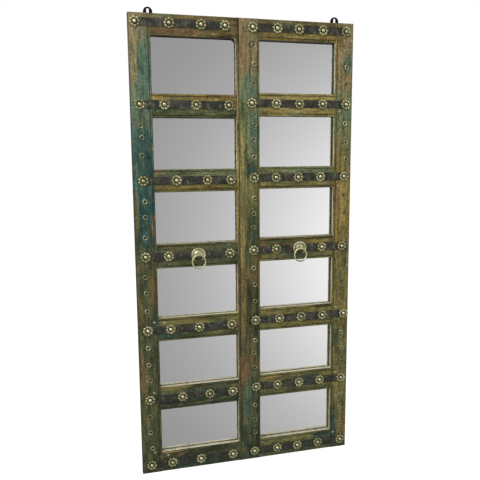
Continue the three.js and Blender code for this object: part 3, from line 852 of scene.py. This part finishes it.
pegs = [
    (854, 1482), (851, 1175), (851, 649), (852, 353), (847, 72), (66, 643), (106, 639), (57, 347),
    (53, 88), (107, 70),
]
peg_size = (0.0055, 0.0018, 0.00495)
material, spot = start_material("peg_ends")
rings = spot.noise(420, 4, 0.6)
colour = rings.band(0.38, 0.62).mix(tone(78, 80, 56), tone(190, 188, 150))
end_material(spot, {"Base Color": colour, "Roughness": 0.6, "Normal": rings.bumps(0.0005, 0.8)})
work = bmesh.new()
for peg in pegs:
    x, z = on_panel(*peg)
    add_ball(work, Vector((x, front, z)), peg_size, segments=12, rings=6)
place_piece(work, "peg_ends", material, "panel", smooth=60)

# ---- Ring pulls: a pressed brass rose with a rounded rim and a domed middle on the fourth strap of
# each leaf, a staple of wire through it, and a plain ring that hangs in the staple.

rose = {"radius": 0.0295, "rim": 0.008, "rim_height": 0.003, "hollow": 0.0014}
rose_dome = {"radius": 0.0185, "height": 0.007}
# Painted shade on the rose, under the hanging ring and about the staple: each spot across and up from
# the rose's middle, and how far it reaches.
rose_painted_shade = [((0.001, -0.016), 0.023), ((0, 0), 0.009)]
ring_wire = 0.0033
ring_wear = 0.004
staple_flatten = 1.6
pull_brass = old_brass("pull_brass", floor=0.0026, top=0.0044, polish=0.0060, seed=5, turned=2)


def rose_outline():
    """The rose from its back edge over the rim and the dome to the middle, as (reach, rise)."""
    outline = [(rose["radius"], 0.0)]
    for i in range(7):
        angle = math.pi * i / 6
        reach = rose["radius"] - rose["rim"] * (1 - math.cos(angle)) / 2
        rise = rose["hollow"] + (rose["rim_height"] - rose["hollow"]) * math.sin(angle)
        outline.append((reach, rise))
    for i in range(9):
        angle = math.pi / 2 * i / 8
        rise = rose["hollow"] + (rose_dome["height"] - rose["hollow"]) * math.sin(angle)
        outline.append((rose_dome["radius"] * math.cos(angle), rise))
    return outline


for leaf in ("left", "right"):
    name = f"{leaf}_pull_rose"
    low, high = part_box(name)
    centre = (low + high) / 2
    work = bmesh.new()
    verts = [work.verts.new((reach, -rise, 0)) for reach, rise in rose_outline()]
    for first, second in zip(verts, verts[1:]):
        work.edges.new((first, second))
    turn_on_lathe(work, steps=48)
    bmesh.ops.translate(work, vec=(centre.x, high.y, centre.z), verts=work.verts)
    top = high.y - rose_dome["height"]
    # Painted shade under the ring and about the staple.
    painted_shade = [((centre.x + across, top, centre.z + up), reach) for (across, up), reach in rose_painted_shade]
    rose_brass = old_brass(
        f"{name}_brass", floor=0.0028, top=0.0044, polish=0.0052, seed=6, painted_shade=painted_shade,
    )
    place_piece(work, f"{name}_brass", rose_brass, "panel", [name], smooth=50)

    name = f"{leaf}_pull_staple"
    work = copy_of(name)
    about = Matrix.Translation((-centre.x, 0, 0))
    bmesh.ops.scale(work, vec=(staple_flatten, 1, 1), space=about, verts=work.verts)
    place_piece(work, f"{name}_brass", pull_brass, "panel", [name], smooth=60)

    name = f"{leaf}_pull_ring"
    low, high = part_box(name)
    work = wire_ring((high.x - low.x) / 2 - ring_wire, ring_wire, sides=14, steps=56)
    for vert in work.verts:
        vert.co *= 1 - ring_wear * max(noise.noise(vert.co * 90), 0)
    bmesh.ops.translate(work, vec=(low + high) / 2, verts=work.verts)
    place_piece(work, f"{name}_brass", pull_brass, f"{leaf}_ring", [name], smooth=60)

# ---- Hanging lugs: two black japanned iron plates with a keyhole, screwed to the back of the frame
# by two steel screws each.

lug_rounding = 0.0004

black_iron, spot = start_material("black_iron")
brushed = spot.noise(160, 4, 0.6)
colour = brushed.band(0.6, 0.75).mix(tone(14, 14, 15), tone(48, 44, 40))
end_material(spot, {
    "Base Color": colour, "Roughness": 0.55 + brushed * 0.2, "Specular IOR Level": 0.15,
    "Normal": brushed.bumps(0.0004, 0.5),
})
for leaf in ("left", "right"):
    name = f"{leaf}_hanging_lug"
    work = copy_of(name)
    corners = [edge for edge in work.edges if edge.calc_face_angle(0) > math.radians(60)]
    ease(work, corners, lug_rounding)
    place_piece(work, f"{name}_iron", black_iron, "panel", [name])
    for place in ("upper", "lower"):
        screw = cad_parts[f"{leaf}_lug_screw_{place}"]
        screw.data.materials.clear()
        screw.data.materials.append(screw_steel)

# ---- Studio: a pale floor below the hanging mirror, soft light from the upper left, and a camera at
# the photograph's place. The glass shows a grey room of its own in place of the backdrop and floor:
# a broad bright card to the right of the camera, a window high on the left, and a pale ceiling.

floor_drop = 0.25
floor_half_size = 6
floor_glow = 0.62
backdrop_light = 0.62

floor_white, spot = start_material("floor_white")
camera_ray = spot.make("LightPath", out="Is Camera Ray")
glossy_ray = spot.make("LightPath", out="Is Glossy Ray")
plain = spot.make("BsdfDiffuse", {}, {"Color": (0.8, 0.8, 0.8, 1)})
glow = spot.make("Emission", {}, {"Color": (1, 1, 1, 1), "Strength": floor_glow})
lifted = spot.make("AddShader", {}, {0: plain, 1: glow})
seen = spot.make("MixShader", {}, {0: camera_ray, 1: plain, 2: lifted})
clear = spot.make("BsdfTransparent")
seen = spot.make("MixShader", {}, {0: glossy_ray, 1: seen, 2: clear})
spot.make("OutputMaterial", {}, {"Surface": seen})
work = bmesh.new()
bmesh.ops.create_grid(work, x_segments=1, y_segments=1, size=floor_half_size)
bmesh.ops.translate(work, vec=(0, 0, cad_box[0].z - floor_drop), verts=work.verts)
floor = bpy.data.objects.new("floor", mesh_of(work, "floor"))
floor.data.materials.append(floor_white)
bpy.context.scene.collection.objects.link(floor)

world = bpy.data.worlds.new("studio")
bpy.context.scene.world = world
world.use_nodes = True
world.node_tree.nodes.clear()
look = Shade(world.node_tree, None).make("TexCoord", out="Generated")
x, y, z = look.parts()
bearing = x.maths("ARCTAN2", y * -1) * math.degrees(1)
rise = z.maths("ARCSINE") * math.degrees(1)


def glow_about(middle_bearing, middle_rise, width, height):
    """1 in one direction of the room, fading to 0 about it. The direction is in degrees to the right
    of straight out from the glass and up, and width and height are in squares of a degree."""
    across, up = bearing - middle_bearing, rise - middle_rise
    fade = across * across / width + up * up / height
    return (fade * -1).maths("EXPONENT")


card = glow_about(35, -9.5, 430, 335) * bearing.band(62, 34) * 0.96
window = glow_about(-46, 40, 620, 420) * 4.2
ceiling = rise.band(14, 50) * 0.3
walls = rise.band(-58, -30) * bearing.band(120, 40) * 0.24 + 0.06
room = card + window + ceiling + walls
camera_ray = look.make("LightPath", out="Is Camera Ray")
glossy_ray = look.make("LightPath", out="Is Glossy Ray")
backdrop = camera_ray * (1 - backdrop_light) + backdrop_light
strength = backdrop * (1 - glossy_ray) + room * glossy_ray
background = look.make("Background", {}, {"Color": (1, 1, 1, 1), "Strength": strength})
look.make("OutputWorld", {}, {"Surface": background})

softbox_place = Vector((-1.8, -2.5, 1.8))
softbox = bpy.data.lights.new("softbox", "AREA")
softbox.shape = "SQUARE"
softbox.size = 2.6
softbox.energy = 66
softbox_object = bpy.data.objects.new("softbox", softbox)
softbox_object.location = softbox_place
softbox_object.rotation_euler = (-softbox_place).to_track_quat("-Z", "Y").to_euler()
softbox_object.visible_glossy = False
bpy.context.scene.collection.objects.link(softbox_object)

camera_place = Vector((-0.60775, -2.2578, 0.38738))
yaw, pitch, roll = (math.radians(angle) for angle in (14.526, -8.416, -0.441))
forward = Vector((math.sin(yaw) * math.cos(pitch), math.cos(yaw) * math.cos(pitch), math.sin(pitch)))
level = Vector((math.cos(yaw), -math.sin(yaw), 0))
upright = level.cross(forward)
right = level * math.cos(roll) + upright * math.sin(roll)
above = upright * math.cos(roll) - level * math.sin(roll)
camera = bpy.data.cameras.new("camera")
camera.sensor_width = 36
camera.lens = 42.7
camera_object = bpy.data.objects.new("camera", camera)
camera_object.matrix_world = Matrix((
    (right.x, above.x, -forward.x, camera_place.x),
    (right.y, above.y, -forward.y, camera_place.y),
    (right.z, above.z, -forward.z, camera_place.z),
    (0, 0, 0, 1),
))
bpy.context.scene.collection.objects.link(camera_object)
bpy.context.scene.camera = camera_object
bpy.context.scene.view_settings.view_transform = "Standard"
